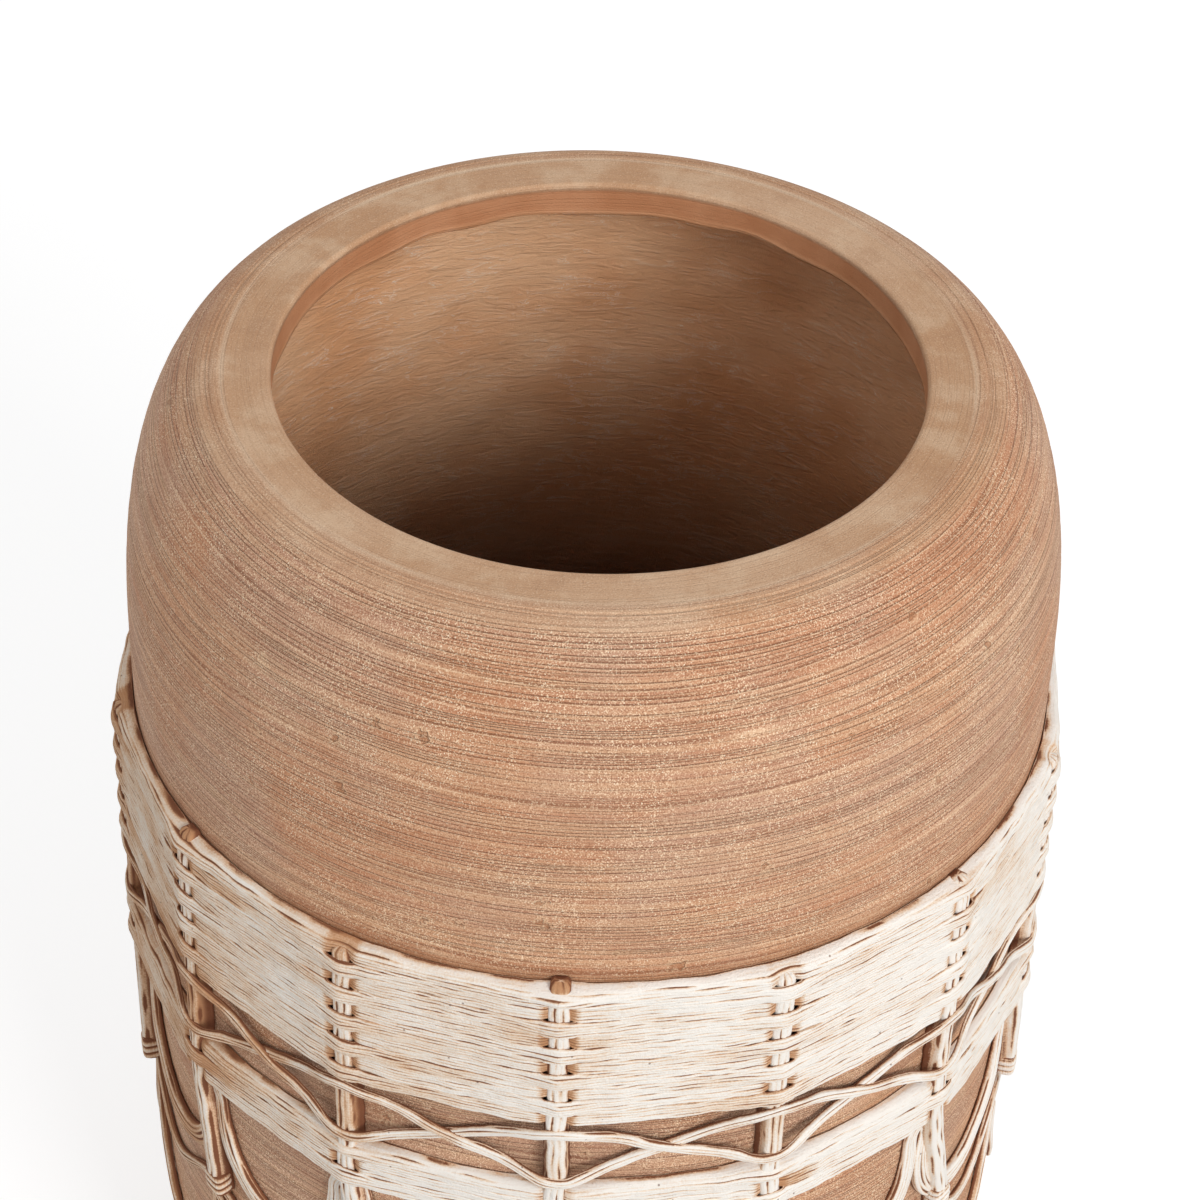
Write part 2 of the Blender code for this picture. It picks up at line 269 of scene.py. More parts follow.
print("quads in a ring of 4 rows and 3 columns:", len(grid_faces(4, 3, True)))

# %% [markdown]
# The pot's profile.
# The real pot was turned: a template was held against spinning wet clay, so one profile makes all
# of it. The profile runs from the lip down the outside, under the foot, through the drain hole
# and up the inside. The shoulder is a superellipse, a little squarer than a quarter circle.

# %% Profile
MM = 0.001
LIP_WIDTH = 19.5 * MM
LIP_THICKNESS = 14 * MM
LIP_EDGE_ROUND = 2 * MM
LIP_TURN = 12 * MM
MOUTH_RADIUS = 128.5 * MM
SHOULDER_DROP = 119 * MM
SHOULDER_OUT_POWER = 2.17
SHOULDER_DOWN_POWER = 2.39
WALL_LEAN = 0.002
WALL = 10 * MM
BASE_ROUND = 12 * MM
INNER_ROUND = 14 * MM
FOOT_WIDTH = 30 * MM
FOOT_RISE = 5 * MM
FLOOR = 14 * MM
DRAIN_RADIUS = 12 * MM
DISH_WIDTH = 12 * MM
DISH_DEPTH = 1.5 * MM

wall_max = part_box("pot_shell")[1].y
lip_radius = MOUTH_RADIUS + LIP_WIDTH
shoulder_foot = rim_height - SHOULDER_DROP
floor_top = FOOT_RISE + FLOOR
dish_floor = floor_top - DISH_DEPTH
dish_edge = DRAIN_RADIUS + DISH_WIDTH


def wall_radius(z):
    """Outer radius at height z: a leaning wall below the superelliptic shoulder."""
    rise = np.clip((z - shoulder_foot) / SHOULDER_DROP, 0, 1)
    out = (1 - rise ** SHOULDER_DOWN_POWER) ** (1 / SHOULDER_OUT_POWER)
    leaning = wall_max - WALL_LEAN * (shoulder_foot - z)
    return np.where(z <= shoulder_foot, leaning, lip_radius + (wall_max - lip_radius) * out)


def shoulder_curve(top_radius, top_z, foot_radius):
    """Points of the shoulder, close together: radius and height from its top to its foot."""
    t = np.linspace(0, np.pi / 2, 400)
    out = np.sin(t) ** (2 / SHOULDER_OUT_POWER)
    down = np.clip(np.cos(t), 0, 1) ** (2 / SHOULDER_DOWN_POWER)
    return np.stack([top_radius + (foot_radius - top_radius) * out,
                     shoulder_foot + (top_z - shoulder_foot) * down], -1)


def arc(centre, radius, start, end):
    """Points of a round between two angles in degrees, counted from outwards to upwards."""
    t = np.radians(np.linspace(start, end, 30))
    return np.stack([centre[0] + radius * np.cos(t), centre[1] + radius * np.sin(t)], -1)


def spaced(points, spacing):
    """The same line with points at an even spacing, its last point left to the next line."""
    points = np.asarray(points, float)
    length = np.concatenate([[0], np.cumsum(np.linalg.norm(np.diff(points, axis=0), axis=1))])
    steps = max(int(round(length[-1] / spacing)), 1)
    at = np.linspace(0, length[-1], steps + 1)[:-1]
    return np.stack([np.interp(at, length, points[:, k]) for k in (0, 1)], -1)


wrap_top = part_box("stake_01")[1].z
wrap_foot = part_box("swag_strand_lower")[0].z
top_of_wrap = (float(wall_radius(wrap_top)), wrap_top)
foot_of_wrap = (float(wall_radius(wrap_foot)), wrap_foot)
base_radius = float(wall_radius(BASE_ROUND))
ground_radius = base_radius - BASE_ROUND
foot_inner = ground_radius - FOOT_WIDTH
inner_base = float(wall_radius(floor_top + INNER_ROUND)) - WALL
lip_edge = rim_height - LIP_EDGE_ROUND
lip_foot = rim_height - LIP_THICKNESS
shoulder_line = shoulder_curve(lip_radius, rim_height, wall_max)
inner_shoulder = shoulder_curve(lip_radius, lip_foot, wall_max - WALL)[::-1]
near_lip = shoulder_line[:, 0] < lip_radius + LIP_TURN

# Each part's points, and the spacing of its rows in mm.
outline = {
    "lip_edge": (arc((MOUTH_RADIUS + LIP_EDGE_ROUND, lip_edge), LIP_EDGE_ROUND, 180, 90), 0.6),
    "lip": ([(MOUTH_RADIUS + LIP_EDGE_ROUND, rim_height), shoulder_line[0]], 1.2),
    "lip_turn": (shoulder_line[near_lip], 0.5),
    "shoulder": (shoulder_line[~near_lip], 1.15),
    "bare_wall": ([(wall_max, shoulder_foot), top_of_wrap], 1.15),
    "wrapped_wall": ([top_of_wrap, foot_of_wrap], 2.6),
    "bare_foot": ([foot_of_wrap, (base_radius, BASE_ROUND)], 2.8),
    "base": (arc((ground_radius, BASE_ROUND), BASE_ROUND, 0, -90), 1.8),
    "foot": ([(ground_radius, 0), (foot_inner, 0)], 10),
    "recess": ([(foot_inner, 0), (foot_inner - FOOT_RISE, FOOT_RISE)], 2.5),
    "underside": ([(foot_inner - FOOT_RISE, FOOT_RISE), (DRAIN_RADIUS, FOOT_RISE)], 12),
    "drain": ([(DRAIN_RADIUS, FOOT_RISE), (DRAIN_RADIUS, dish_floor)], 3.5),
    "dish": ([(DRAIN_RADIUS, dish_floor), (dish_edge - DISH_DEPTH, dish_floor)], 4),
    "dish_side": ([(dish_edge - DISH_DEPTH, dish_floor), (dish_edge, floor_top)], 1),
    "floor": ([(dish_edge, floor_top), (inner_base - INNER_ROUND, floor_top)], 8),
    "corner": (arc((inner_base - INNER_ROUND, floor_top + INNER_ROUND), INNER_ROUND, -90, 0), 3),
    "inside": ([(inner_base, floor_top + INNER_ROUND), (wall_max - WALL, shoulder_foot)], 6.6),
    "inner_shoulder": (inner_shoulder, 3),
    "lip_under": ([(lip_radius, lip_foot), (MOUTH_RADIUS, lip_foot)], 2.5),
    "lip_face": ([(MOUTH_RADIUS, lip_foot), (MOUTH_RADIUS, lip_edge)], 1.5),
}
profile_parts = {part: spaced(points, step * MM) for part, (points, step) in outline.items()}
profile = np.concatenate(list(profile_parts.values()))
part_of = np.repeat(np.arange(len(profile_parts)), [len(p) for p in profile_parts.values()])
part_names = list(profile_parts)
print("profile rows", len(profile), {k: len(p) for k, p in profile_parts.items()})

# %% [markdown]
# The pot's skin.
# Turning leaves ridges that run round the pot and drift slowly as the potter's hand moves. They
# could be a bump alone, but then the mesh would be smooth from close by, so the broad ones are
# real relief: a sum of waves along the profile whose phase wanders with the angle. Two fine grooves
# ring the lip. The inside was smeared by hand, so it is lumpy, and the lip's lower edge is wavy.

# %% Pot skin
COLUMNS = 196
RIDGE_DEPTH = 0.16 * MM
LUMP_HEIGHT = 0.55 * MM
LIP_WAVE = 1.1 * MM
LIP_HANG = 0.4 * MM
DEPTH_SHADE_TOP = rim_height - 120 * MM
DEPTH_SHADE_SPAN = 130 * MM
PALER_TOP = 260 * MM
PALER_SPAN = 160 * MM
SHADOW_ABOVE_BAND = 9 * MM
SHADOW_BELOW_BAND = 6 * MM

# Two grooves: the way from the lip's turn, the depth and the width of each.
GROOVES = ((4.4 * MM, 0.55 * MM, 0.55 * MM), (6.6 * MM, 0.35 * MM, 0.5 * MM))


def rows_of(*names):
    """A mask of the profile rows that belong to the named parts."""
    return np.isin(part_of, [part_names.index(n) for n in names])


def profile_length():
    """Length along the profile from the lip's inner edge, per row and once more at the close."""
    step = np.linalg.norm(np.roll(profile, -1, 0) - profile, axis=1)
    return np.concatenate([[0], np.cumsum(step)])


def ridges(s, turn, shortest, longest, count, seed):
    """Waves along s of seeded lengths, each drifting with the angle, about -1 to 1."""
    draw = np.random.default_rng(seed)
    total = np.zeros((len(s), len(turn)))
    for _ in range(count):
        wave = np.exp(draw.uniform(np.log(shortest), np.log(longest)))
        drift = draw.normal() * 0.9 * np.cos(turn * draw.integers(1, 4) + draw.uniform(0, 6.28))
        total += draw.normal() * np.cos(2 * np.pi * s[:, None] / wave + drift + draw.uniform(0, 6.28))
    return total / np.sqrt(count)


def lumps(s, turn, seed):
    """Broad unevenness of a hand-smeared face: products of slow waves in both directions."""
    draw = np.random.default_rng(seed)
    total = np.zeros((len(s), len(turn)))
    for _ in range(40):
        wave = draw.uniform(30, 110) * MM
        number = draw.integers(2, 26)
        total += draw.normal() * np.cos(2 * np.pi * s[:, None] / wave + number * turn + draw.uniform(0, 6.28))
    return total / np.sqrt(40)


def pot_points():
    """The profile carried round the axis, moved along its normal by ridges, grooves and lumps."""
    turn = turns(COLUMNS)
    s = profile_length()[:-1]
    ahead = np.roll(profile, -1, 0) - np.roll(profile, 1, 0)
    ahead /= np.linalg.norm(ahead, axis=1, keepdims=True)
    out = np.stack([-ahead[:, 1], ahead[:, 0]], -1)
    turned = np.where(rows_of("shoulder", "bare_wall", "wrapped_wall", "bare_foot"), 1.0, 0.0)
    turned = np.where(rows_of("lip", "lip_turn"), 0.3, turned)
    relief = -RIDGE_DEPTH * turned[:, None] * np.abs(ridges(s, turn, 4 * MM, 16 * MM, 26, 3))
    lip_start = s[rows_of("lip_turn")][0]
    for place, depth, width in GROOVES:
        away = np.where(rows_of("lip_turn", "shoulder"), s - lip_start - place, 1.0)
        drift = 0.25 * MM * noise_around(COLUMNS, 6, 11)
        relief -= depth * np.exp(-((away[:, None] + drift) / width) ** 2)
    smeared = rows_of("inside", "inner_shoulder", "lip_under") * 1.0
    relief += LUMP_HEIGHT * smeared[:, None] * lumps(s, turn, 7)
    radius = profile[:, :1] + out[:, :1] * relief
    z = profile[:, 1:] + out[:, 1:] * relief
    wavy = LIP_WAVE * noise_around(COLUMNS, 24, 5) - LIP_HANG
    hang = np.where(rows_of("lip_face"), (lip_edge - profile[:, 1]) / (lip_edge - lip_foot), 0.0)
    hang = np.where(rows_of("lip_under"), 1.0, hang)
    z += hang[:, None] * wavy
    return around(radius, turn, z), s


def every_column(mask, soften=False):
    """A row mask repeated for every column, if asked averaged over five rows first."""
    if soften:
        mask = np.convolve(np.concatenate([mask[-4:], mask, mask[:4]]), np.ones(5) / 5, "same")[4:-4]
    return np.repeat(mask[:, None], COLUMNS, 1)


pot_grid, along_profile = pot_points()
height = profile[:, 1]
inside_mask = rows_of("dish", "dish_side", "floor", "corner", "inside", "inner_shoulder", "lip_under") * 1.0
lip_mask = rows_of("lip_edge", "lip", "lip_face") * 1.0
lip_mask[rows_of("lip_turn")] = 0.6
# Painted shade: the inside is painted darker the deeper it lies, and less so near the floor.
painted_depth_shade = 0.9 * np.clip((DEPTH_SHADE_TOP - height) / DEPTH_SHADE_SPAN, 0, 1)
painted_depth_shade *= 1 - 0.6 * np.clip((PALER_TOP - height) / PALER_SPAN, 0, 1)
band_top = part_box("upper_course_01")[1].z
band_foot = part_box("upper_course_10")[0].z
# Painted shadow: the wall is painted darker just above and below the wrap's band, as the band's shadow on it.
off_band = np.where(height > band_top, (height - band_top) / SHADOW_ABOVE_BAND,
                    (band_foot - height) / SHADOW_BELOW_BAND)
band_shadow_mask = 0.85 * rows_of("shoulder", "bare_wall", "wrapped_wall") * (1 - np.clip(off_band, 0, 1))
marks = {
    "turned": np.concatenate([pot_grid[:, :, :2], every_column(along_profile)[:, :, None]], -1),
    "inside": every_column(inside_mask, True),
    "lip": every_column(lip_mask, True),
    "lip_face": every_column(rows_of("lip_face") * 1.0),
    "depth": every_column(painted_depth_shade),
    "band_shadow": every_column(band_shadow_mask),
}
pot = surface("turned_pot", pot_grid, True, marks, profile_length(),
              np.arange(COLUMNS + 1) / COLUMNS * 2 * np.pi * wall_max)
print("pot triangles", 2 * len(pot.data.polygons))

# %% [markdown]
# Dry turned fibre clay.
# It is unglazed, so it is matt, with fine comb lines round it, painted dark as the shade in their
# grooves, a pale painted highlight beside each, sandy grain and specks of mica with painted glints.
# A line lies where a phase, mostly the length along the profile, passes a half: slow noise bends
# and squeezes the phase, and another noise fades each line in and out. That gives long thin lines
# of even width, which ring the lip, the shoulder and the wall without a seam. Chips are painted
# darker inside as painted shade, with a pale painted highlight on their rims. The inside was
# smeared with a brush: it is a little glossy, and its gloss is painted as pale strokes and scratch
# lines. Painted shade darkens it with depth as far as the floor, which is paler again. Beside the
# wrap's band the wall is painted darker as the band's painted shadow.

# %% Clay material
COMB_PITCH = 1.75 * MM
FINE_PITCH = 1.2 * MM
PATCH = 24 * MM
BLOTCH = 75 * MM
GRAIN = 0.6 * MM
MICA_SPACING = 1.15 * MM
CHIP_SPACING = 16 * MM
CHIP_BEND = 9 * MM
RUBBED_LINE = 20.3 * MM
BRUSH_PITCH = 4.2 * MM
BRUSH_LENGTH = 19 * MM


def clay_material():
    """Turned clay outside and smeared clay inside, mixed by the marks on the mesh."""
    made, tree = new_material("dry_turned_fibre_clay")
    node = partial(add, tree)
    paint = partial(painted, tree)
    inside, lip, face, deep, band_shadow = (
        node("Attribute", output="Fac", attribute_name=mark)
        for mark in ("inside", "lip", "lip_face", "depth", "band_shadow"))
    place = node("Attribute", output="Vector", attribute_name="turned")
    row = node("SeparateXYZ", place, output="Z")
    solid = node("TexCoord", output="Object")

    def ringed(across, along, detail=0.0):
        """Noise that is long round the pot and short along the profile."""
        scaled = node("Mapping", place, Scale=(1 / across, 1 / across, 1 / along))
        return node("TexNoise", scaled, 1.0, detail)

    def near(value, middle, width):
        """1 where the value is at the middle, 0 from the width away."""
        return node(SOFT, node("Math ABSOLUTE", node("Math SUBTRACT", value, middle)), 0.0, width, 1.0, 0.0)

    def eased(share, value, low, high, least=0.0, most=1.0):
        """A share times a soft step of a value."""
        return node(TIMES, share, node(SOFT, value, low, high, least, most))

    outdoor = node("Math SUBTRACT", 1.0, inside)
    plain = node(TIMES, outdoor, node("Math SUBTRACT", 1.0, lip))
    lined = node(TIMES, outdoor, node("Math MULTIPLY_ADD", lip, -0.75, 1.0))
    drift = node("Math MULTIPLY_ADD", ringed(240 * MM, 26 * MM, 1.0), 7.0,
                 node(TIMES, ringed(500 * MM, 6 * MM), 4.0))
    comb = node("Math FRACT", node("Math MULTIPLY_ADD", row, 1 / COMB_PITCH, drift))
    fine = node("Math FRACT", node("Math MULTIPLY_ADD", row, 1 / FINE_PITCH, node(TIMES, drift, -0.8)))
    comb_force = eased(lined, ringed(130 * MM, 1.7 * MM, 1.0), 0.34, 0.58)
    fine_force = eased(lined, ringed(50 * MM, 1.2 * MM), 0.45, 0.70, 0.0, 0.65)
    # The comb lines are painted dark as the shade in their grooves; the pale edge beside each is a painted
    # highlight.
    lines = node("Math MAXIMUM", node(TIMES, near(comb, 0.5, 0.21), comb_force),
                 node(TIMES, near(fine, 0.5, 0.26), fine_force))
    comb_edge = node(TIMES, near(comb, 0.76, 0.17), comb_force)

    patch = node("TexNoise", solid, 1 / PATCH, 3.0, 0.6)
    blotch = node("TexNoise", solid, 1 / BLOTCH, 2.0, 0.6)
    grain = node("TexNoise", solid, 1 / GRAIN, 1.0)
    band = ringed(160 * MM, 5 * MM, 2.0)
    mica = node("TexVoronoi", solid, 1 / MICA_SPACING)
    mica_pick = node("SeparateColor", mica.node.outputs["Color"])
    warp = node("TexNoise", solid, 1 / (3.4 * MM), 2.0, output="Color")
    bent = node("VectorMath MULTIPLY_ADD", warp, [CHIP_BEND] * 3, solid)
    chips = node("TexVoronoi", bent, 1 / CHIP_SPACING)
    chip_size = node(SOFT, node("SeparateColor", chips.node.outputs["Color"]), 0.30, 1.0, 0.001, 0.17)
    from_chip = node("Math DIVIDE", chips, chip_size)
    chip = eased(plain, from_chip, 0.65, 1.0, 1.0, 0.0)
    chip_rim = node(TIMES, plain, near(from_chip, 1.15, 0.35))
    glint = eased(node(SOFT, mica, 0.14, 0.27, 1.0, 0.0), mica_pick, 0.50, 0.72)

    wall = paint(
        linear("#C18560"),
        ("#BE9075", blotch, 0.38, 0.62),
        ("#D9AE86", band, 0.38, 0.66, 0.0, 0.45),
        ("#AE774F", band, 0.44, 0.30, 0.0, 0.40),
        # Next a painted highlight beside each comb line, then painted shade in the comb grooves.
        ("#EFCAA4", node(TIMES, 0.60, comb_edge)),
        ("#7E4A2B", node(TIMES, 0.72, lines)),
        ("#8C5836", grain, 0.44, 0.31, 0.0, 0.65),
        ("#F3D3B0", eased(node(SOFT, grain, 0.53, 0.68), patch, 0.35, 0.6, 0.45, 1.0)),
        # The last coat paints the glints of the mica specks: a painted highlight.
        ("#FFEED2", eased(glint, patch, 0.35, 0.6, 0.25, 0.95)))
    lip_clay = paint(
        linear("#C2956F"),
        ("#D0A987", blotch, 0.35, 0.65),
        ("#E6C9A9", patch, 0.46, 0.66, 0.0, 0.40),
        ("#AE815F", patch, 0.44, 0.30, 0.0, 0.35),
        ("#EED6B8", eased(near(row, RUBBED_LINE, 2.2 * MM), band, 0.40, 0.60, 0.1, 0.7)),
        ("#92664A", node(TIMES, 0.6, lines)),
        ("#9A6E50", grain, 0.43, 0.28, 0.0, 0.35),
        ("#EBD0B0", grain, 0.56, 0.72, 0.0, 0.40))
    # The chips' hollows are painted darker as painted shade, and their rims paler as a painted highlight.
    outer = paint(node(MIX, lip, wall, lip_clay),
                  ("#A2683F", node(TIMES, 0.55, chip)), ("#F0CDA4", node(TIMES, 0.32, chip_rim)))
    face_clay = paint(linear("#B97D54"), ("#C58B63", patch, 0.30, 0.70))
    # The last coat here is the painted shadow of the wrap's band on the wall.
    outer = paint(node(MIX, face, outer, face_clay),
                  ("#9A6440", eased(band_shadow, patch, 0.3, 0.6, 0.45, 0.9)))

    slant = node("Mapping", solid, Rotation=(0.10, 0.08, 0.3),
                 Scale=(1 / BRUSH_LENGTH, 1 / BRUSH_LENGTH, 1 / BRUSH_PITCH))
    strokes = node("TexNoise", slant, 1.0, 4.0, 0.7, Distortion=1.5)
    smeared = paint(
        linear("#E8AF80"),
        ("#F4C59A", blotch, 0.35, 0.65),
        # Pale strokes and thin pale scratch lines are painted highlights standing in for the brushed gloss.
        ("#FFEBD2", strokes, 0.58, 0.72, 0.0, 0.35),
        ("#B07F5B", strokes, 0.45, 0.34, 0.0, 0.20),
        ("#FFF6E8", eased(near(strokes, 0.57, 0.016), patch, 0.44, 0.58, 0.0, 0.80)),
        # Painted shade: darker with depth inside the pot.
        ("#4A2E20", deep))

    relief = node(TIMES, node("Math MULTIPLY_ADD", chip_rim, 0.25, node(TIMES, chip, -1.0)),
                  node(TIMES, chip_size, 0.18 * CHIP_SPACING))
    for share, height in ((lines, -0.35 * MM), (comb_edge, 0.12 * MM), (grain, 0.30 * MM),
                          (node(TIMES, strokes, inside), 1.2 * MM)):
        relief = node("Math MULTIPLY_ADD", share, height, relief)
    return shaded(made, Base_Color=node(MIX, inside, outer, smeared), IOR=1.5,
                  Roughness=node(SOFT, inside, 0.0, 1.0, 0.70, 0.44),
                  Normal=node("Bump", 1.0, 1.0, Height=relief))


clay = clay_material()
dress(pot, clay, "pot", "turned_clay", "pot_shell")
print("clay nodes", len(clay.node_tree.nodes))

# %% [markdown]
# Reed bundles.
# A strand of the wrap is a few round reeds laid side by side and pressed flat under whitewash. It
# could be one tube for each reed, but the wash has bridged them, so one skin with a ridge for
# each reed is nearer to the real thing. Its section is a row of flattened half rounds, carried along
# a path that lies on the unrolled wall. The wash also leaves crumbs, so the skin is slightly rough.

# %% Strand surface
REED_SAMPLES = 7
SIDE_SAMPLES = 4
BACK_SAMPLES = 4
RIDGE = 0.70 * MM
MOST_SUNK = 0.85
ROUGH = 0.08 * MM
RAGGED = 0.20 * MM


def wander(count, columns, longest, seed):
    """Rough noise on a closed strip: random values blurred along it and a little across, about -1 to 1."""
    draw = np.random.default_rng(seed).normal(size=(count, columns))
    wave = np.fft.fftfreq(count)[:, None] * longest
    across = np.fft.fftfreq(columns)[None, :] * 2.2
    soft = np.fft.ifft2(np.fft.fft2(draw) / (1 + wave ** 2 + across ** 2)).real
    return soft / soft.std() / 2


def reed_crests(count, reeds, fill, seed):
    """Height share of a row of round reeds, 0 in the valleys and 1 on the crests, as (step, sample).

    Each reed is a flattened half round about its own middle, which wanders a little. Wash fills the
    valleys to a depth that changes along them and is the fill on average.
    """
    x = np.linspace(-1, 1, reeds * REED_SAMPLES + 1)
    crest = np.zeros((count, len(x)))
    for j in range(reeds):
        middle = -1 + (2 * j + 1) / reeds + 0.36 / reeds * noise_around(count, count // 14, seed + 31 * j)
        from_middle = (x - middle[:, None]) * reeds / 1.04
        crest = np.maximum(crest, np.clip(1 - from_middle ** 2, 0, 1) ** 0.4)
    filled = np.clip(fill + 0.55 * wander(count, len(x), 150.0, seed + 77), 0, 0.9)
    return x, 1 - (1 - crest) * (1 - filled)


def section(back, top, reeds, fill, arch, roll, flare, seed):
    """Way out and way across, in half widths, of a strand's ring of points, and their crest marks.

    The face is at the top's lift, less an arch towards both edges, less a ridge depth in the
    valleys between the reeds. The sides go down to the back, which is wider by the flare. roll is
    how far the upper edge is rolled down towards the wall.
    """
    count = len(back)
    x, crest = reed_crests(count, reeds, fill, seed)
    tall = top - back
    rounded = 1 - np.sqrt(np.clip(1 - (0.98 * x) ** 2, 0, 1))
    rolled = 1 - np.sqrt(np.clip(1 - np.clip((x + 0.2) / 1.2, 0, 1) ** 2, 0, 1))
    sunk = tall * np.minimum(arch * rounded + roll * rolled, MOST_SUNK)
    valley = np.minimum(RIDGE, 0.6 * tall) * (1 - crest)
    face = back + tall - sunk - valley + ROUGH * wander(count, len(x), 5.0, seed + 991)
    share = np.linspace(1, 0, SIDE_SAMPLES + 2)[1:-1]
    right = back + (face[:, -1:] - back) * share
    left = back + (face[:, :1] - back) * share[::-1]
    out = np.concatenate([face, right, np.repeat(back, BACK_SAMPLES, 1), left], 1)
    grown = 1 + flare
    wide = 1 + (grown - 1) * (1 - share) ** 1.5
    across = np.concatenate([np.tile(x, (count, 1)), wide, grown * np.linspace(0.96, -0.96, BACK_SAMPLES),
                             -wide[:, ::-1]], 1)
    # The sides turn brown towards the wall, partly as edges the wash missed and partly as painted contact
    # shade.
    washed = np.concatenate([0.9 * share, np.zeros(BACK_SAMPLES), 0.9 * share[::-1]])
    return out, across, np.concatenate([crest, np.tile(washed, (count, 1))], 1)


def strand(node, finish, slot, path, width, reeds, arch, seed, shade,
           closed=True, fill=-0.1, roll=0.0, flare=0.0):
    """A bundle of reeds in place of a CAD node, with marks for its finish.

    The path on the wall is angle, height, lift of the back and lift of the top, and at each step
    the section runs square to it. Every measure is one number or one for each step.
    """
    count = len(path[0])
    angle, z, back, top, width, arch, flare, shade = (
        np.ones((count, 1)) * np.reshape(part, (-1, 1)) for part in (*path, width, arch, flare, shade))
    radius = wall_radius(z)
    if closed:
        run = ((np.roll(angle, -1) - np.roll(angle, 1) + np.pi) % (2 * np.pi) - np.pi) * radius
        rise = np.roll(z, -1) - np.roll(z, 1)
        after = angle[:1] + 2 * np.pi, z[:1]
    else:
        run = np.gradient(angle, axis=0) * radius
        rise = np.gradient(z, axis=0)
        after = angle[-1:], z[-1:]
    length = np.hypot(run, rise)
    out, across, crest = section(back, top, reeds, fill, arch, roll, flare, seed)
    ragged = RAGGED * wander(count, 2, 7.0, seed + 557)
    shift = across * width / 2 + np.where(across > 0, ragged[:, :1], ragged[:, 1:]) * np.abs(across) ** 3
    point_z = z + shift * (run / length)
    points = around(wall_radius(point_z) + out, angle - shift * (rise / length / radius), point_z)
    step = np.hypot(np.diff(angle, axis=0, append=after[0]) * radius, np.diff(z, axis=0, append=after[1]))
    along = np.concatenate([[0], np.cumsum(step)])
    beside = np.concatenate([across[0], across[0, :1]]) * width.mean() / 2
    marks = {"crest": crest, "shade": np.repeat(shade, crest.shape[1], 1)}
    dress(surface(node + "_reeds", points, closed, marks, along, beside), finish, "pot", slot, node)


def smoothed(row, steps):
    """A closed row averaged over a window of neighbours."""
    kernel = np.hanning(2 * steps + 3)
    kernel /= kernel.sum()
    padded = np.concatenate([row[-len(kernel):], row, row[:len(kernel)]])
    return np.convolve(padded, kernel, "same")[len(kernel):-len(kernel)]


stake_names = sorted(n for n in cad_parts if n.startswith("stake_") and "tie" not in n)
STAKES = len(stake_names)
bay = 2 * np.pi / STAKES
print("stakes", STAKES, "bay in mm", round(bay * wall_max / MM, 1))

# %% [markdown]
# Whitewash on cane.
# Thin lime paint was brushed over the bundles: it stays thick on the crests, and terracotta brown
# shows in the valleys and in dry streaks along the reeds. The eyes beside the stakes are browned
# partly as unwashed cane and partly as painted shade. The brown is more on one side of the pot than
# on the other, partly as a drier wash and partly as painted shade on the side away from the key
# lamp. The finish reads two marks from the mesh, the crest height and a given shade, and adds
# streaks that follow the strand through its UV map.

# %% Whitewash material
STREAK_WIDTH = 0.42 * MM
STREAK_LENGTH = 110 * MM
WORN_PATCH = 70 * MM
SMALL_PATCH = 13 * MM
CRUMB = 0.9 * MM
SPOT_SPACING = 6 * MM
COVER_AT_MIDDLE = 2.865


def whitewash_material(name, thickness):
    """Lime wash over brown cane. thickness is how much of the brown it hides, about 0 to 1."""
    made, tree = new_material(name)
    node = partial(add, tree)
    paint = partial(painted, tree)
    crest, shade = (node("Attribute", output="Fac", attribute_name=mark) for mark in ("crest", "shade"))
    solid = node("TexCoord", output="Object")
    strip = node("UVMap", uv_map="UVMap")
    lanes = node("Mapping", strip, Scale=(1 / STREAK_WIDTH, 1 / STREAK_LENGTH, 1.0))
    streaks = node("TexNoise", lanes, 1.0, 4.0, 0.72)
    patches = node("TexNoise", solid, 1 / SMALL_PATCH, 3.0, 0.6)
    worn = node("TexNoise", solid, 1 / WORN_PATCH, 2.0)
    crumbs = node("TexNoise", solid, 1 / CRUMB, 2.0, 0.7)
    # The pot's left side, away from the key lamp, is made browner, partly as a drier wash and partly as
    # painted shade.
    dry_and_shaded_side = node(SOFT, node("SeparateXYZ", solid), -0.17, 0.06, 0.42, 0.0)

    cover = node(TIMES, crest, 1.15)
    for mark, weight in ((streaks, 1.05), (patches, 0.38), (worn, 0.95), (crumbs, 0.55)):
        cover = node("Math MULTIPLY_ADD", mark, weight, cover)
    cover = node("Math SUBTRACT", cover, node("Math ADD", shade, dry_and_shaded_side))
    cover = node("Math ADD", cover, thickness - COVER_AT_MIDDLE)
    thin = paint(linear("#7C4B30"), ("#C39067", crest, 0.35, 0.95), ("#DFB997", cover, -0.34, 0.0))
    lime = paint(linear("#EAD2B9"), ("#F8F2EA", cover, 0.02, 0.50))
    washed = node(MIX, node(SOFT, cover, -0.06, 0.10), thin, lime)
    spots = node("TexVoronoi", solid, 1 / SPOT_SPACING)
    spot_pick = node("SeparateColor", spots.node.outputs["Color"])
    spot = node(TIMES, node(SOFT, spots, 0.05, 0.10, 0.75, 0.0), node(SOFT, spot_pick, 0.72, 0.8))
    relief = node("Math MULTIPLY_ADD", crumbs, 0.46 * MM, node(TIMES, streaks, 0.42 * MM))
    return shaded(made, Base_Color=paint(washed, ("#6B4630", spot)), Roughness=0.85, IOR=1.45,
                  Normal=node("Bump", 1.0, 1.0, Height=relief))


band_wash = whitewash_material("lime_washed_reed_band", 0.86)
strand_wash = whitewash_material("lime_washed_reed_strand", 0.90)
swag_wash = whitewash_material("thinly_washed_reed_swag", 0.84)
print("wash streaks", STREAK_WIDTH / MM, "by", STREAK_LENGTH / MM, "mm")

